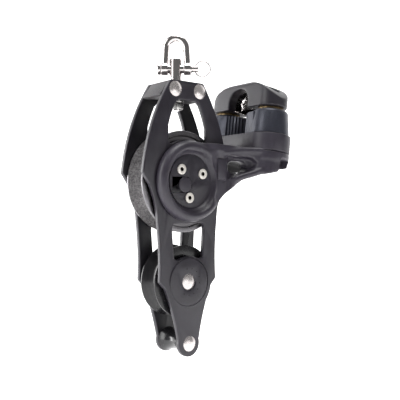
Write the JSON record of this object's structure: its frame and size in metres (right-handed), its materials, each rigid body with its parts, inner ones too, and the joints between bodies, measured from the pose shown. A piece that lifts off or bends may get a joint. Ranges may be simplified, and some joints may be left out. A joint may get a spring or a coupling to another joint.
{
  "type": "fiddle block with cam cleat",
  "caption": "Sailing tackle block: ratchet main sheave over a smaller sheave with becket, swivel shackle on top, and a cam cleat with fairlead on an adjustable side arm.",
  "frame": {"origin": "centre of the main sheave, on its axle", "axes": "+Z from the sheaves towards the shackle, +X towards the cam cleat, +Y along the sheave axles away from the switch side"},
  "size_m": [0.0998, 0.0648, 0.1814],
  "materials": {
    "moulding": "satin, fine moulded grain",
    "acetal": "gloss",
    "sheave_alloy": "anodised, grip texture in the groove, polished lips",
    "axle_alloy": "anodised",
    "stainless": "polished",
    "hard_steel": "ground",
    "spring_steel": "drawn wire",
    "ball_plastic": "smooth",
    "cam_alloy": "dark grey-blue hard anodised",
    "bronze": "satin"
  },
  "bodies": {
    "frame": {"cheek_near": "moulding", "cheek_far": "moulding", "head_block": "moulding", "head_rivets": "stainless", "main_axle": "axle_alloy", "hub_cover_near": "moulding", "hub_cover_far": "moulding", "hub_screws": "stainless", "pawl_carrier": "moulding", "pawl_pins": "stainless", "pawl_springs": "spring_steel", "lower_axle": "stainless", "small_race": "acetal", "becket_pin": "stainless", "becket_spool": "acetal"},
    "main_sheave": {"main_sheave": "sheave_alloy", "ratchet_ring": "hard_steel"},
    "main_balls": {"main_balls": "ball_plastic"},
    "small_sheave": {"small_sheave": "acetal"},
    "small_balls": {"small_balls": "ball_plastic"},
    "switch": {"ratchet_switch": "moulding"},
    "pawl_upper": {"pawl_upper": "hard_steel"},
    "pawl_lower": {"pawl_lower": "hard_steel"},
    "swivel": {"swivel_post": "stainless", "post_washer": "stainless", "post_nut": "stainless"},
    "shackle": {"shackle_bow": "stainless", "shackle_pin": "stainless"},
    "split_ring": {"split_ring": "stainless"},
    "arm": {"cleat_arm": "moulding", "cleat_base": "moulding", "cam_sleeves": "bronze", "cam_washers": "bronze", "cam_bolts": "stainless", "cam_nuts": "stainless", "cam_springs": "spring_steel", "fairlead_bridge": "moulding", "fairlead_liner": "stainless"},
    "cam_near": {"cam_near": "cam_alloy"},
    "cam_far": {"cam_far": "cam_alloy"},
    "cam_near_balls": {"cam_near_balls": "ball_plastic"},
    "cam_far_balls": {"cam_far_balls": "ball_plastic"}
  },
  "joints": [
    {"name": "main_sheave_spin", "type": "hinge", "parent": "frame", "child": "main_sheave", "pos_m": [0, 0, 0], "axis": [0, 1, 0], "continuous": true},
    {"name": "main_balls_orbit", "type": "hinge", "parent": "frame", "child": "main_balls", "pos_m": [0, 0, 0], "axis": [0, 1, 0], "continuous": true},
    {"name": "small_sheave_spin", "type": "hinge", "parent": "frame", "child": "small_sheave", "pos_m": [0, 0, -0.0559], "axis": [0, 1, 0], "continuous": true},
    {"name": "small_balls_orbit", "type": "hinge", "parent": "frame", "child": "small_balls", "pos_m": [0, 0, -0.0559], "axis": [0, 1, 0], "continuous": true},
    {"name": "switch_slide", "type": "slide", "parent": "frame", "child": "switch", "axis": [-1, 0, 0], "range_m": [0, 0.005]},
    {"name": "pawl_upper_turn", "type": "hinge", "parent": "frame", "child": "pawl_upper", "pos_m": [0.00814, 0, 0.01163], "axis": [0, 1, 0], "range_deg": [0, 3]},
    {"name": "pawl_lower_turn", "type": "hinge", "parent": "frame", "child": "pawl_lower", "pos_m": [-0.00814, 0, -0.01163], "axis": [0, 1, 0], "range_deg": [0, 3]},
    {"name": "swivel_turn", "type": "hinge", "parent": "frame", "child": "swivel", "pos_m": [0, 0, 0.0558], "axis": [0, 0, 1], "continuous": true},
    {"name": "shackle_tilt", "type": "hinge", "parent": "swivel", "child": "shackle", "pos_m": [0, 0, 0.0643], "axis": [0.766, -0.6428, 0], "range_deg": [-100, 100]},
    {"name": "split_ring_swing", "type": "hinge", "parent": "shackle", "child": "split_ring", "pos_m": [0.00858, -0.0072, 0.0643], "axis": [0, 0, 1], "range_deg": [-80, 80]},
    {"name": "arm_swing", "type": "hinge", "parent": "frame", "child": "arm", "pos_m": [0, 0, 0], "axis": [0, 1, 0], "range_deg": [-15, 20]},
    {"name": "cam_near_open", "type": "hinge", "parent": "arm", "child": "cam_near", "pos_m": [0.0558, -0.019, 0.028], "axis": [-0.1305, 0, -0.9914], "range_deg": [0, 40], "stiffness_Nm_per_rad": 0.02, "springref_deg": -17.19},
    {"name": "cam_near_balls_orbit", "type": "hinge", "parent": "arm", "child": "cam_near_balls", "pos_m": [0.0558, -0.019, 0.028], "axis": [-0.1305, 0, -0.9914], "range_deg": [0, 24.5]},
    {"name": "cam_far_open", "type": "hinge", "parent": "arm", "child": "cam_far", "pos_m": [0.0558, 0.019, 0.028], "axis": [0.1305, 0, 0.9914], "range_deg": [0, 40], "stiffness_Nm_per_rad": 0.02, "springref_deg": -17.19},
    {"name": "cam_far_balls_orbit", "type": "hinge", "parent": "arm", "child": "cam_far_balls", "pos_m": [0.0558, 0.019, 0.028], "axis": [0.1305, 0, 0.9914], "range_deg": [0, 24.5]}
  ],
  "couplings": [
    {"joint": "main_balls_orbit", "follows": "main_sheave_spin", "ratio": 0.57353},
    {"joint": "small_balls_orbit", "follows": "small_sheave_spin", "ratio": 0.60256},
    {"joint": "pawl_upper_turn", "follows": "switch_slide", "rad_per_m": 10.47},
    {"joint": "pawl_lower_turn", "follows": "switch_slide", "rad_per_m": 10.47},
    {"joint": "cam_near_balls_orbit", "follows": "cam_near_open", "ratio": 0.60714},
    {"joint": "cam_far_balls_orbit", "follows": "cam_far_open", "ratio": 0.60714}
  ]
}
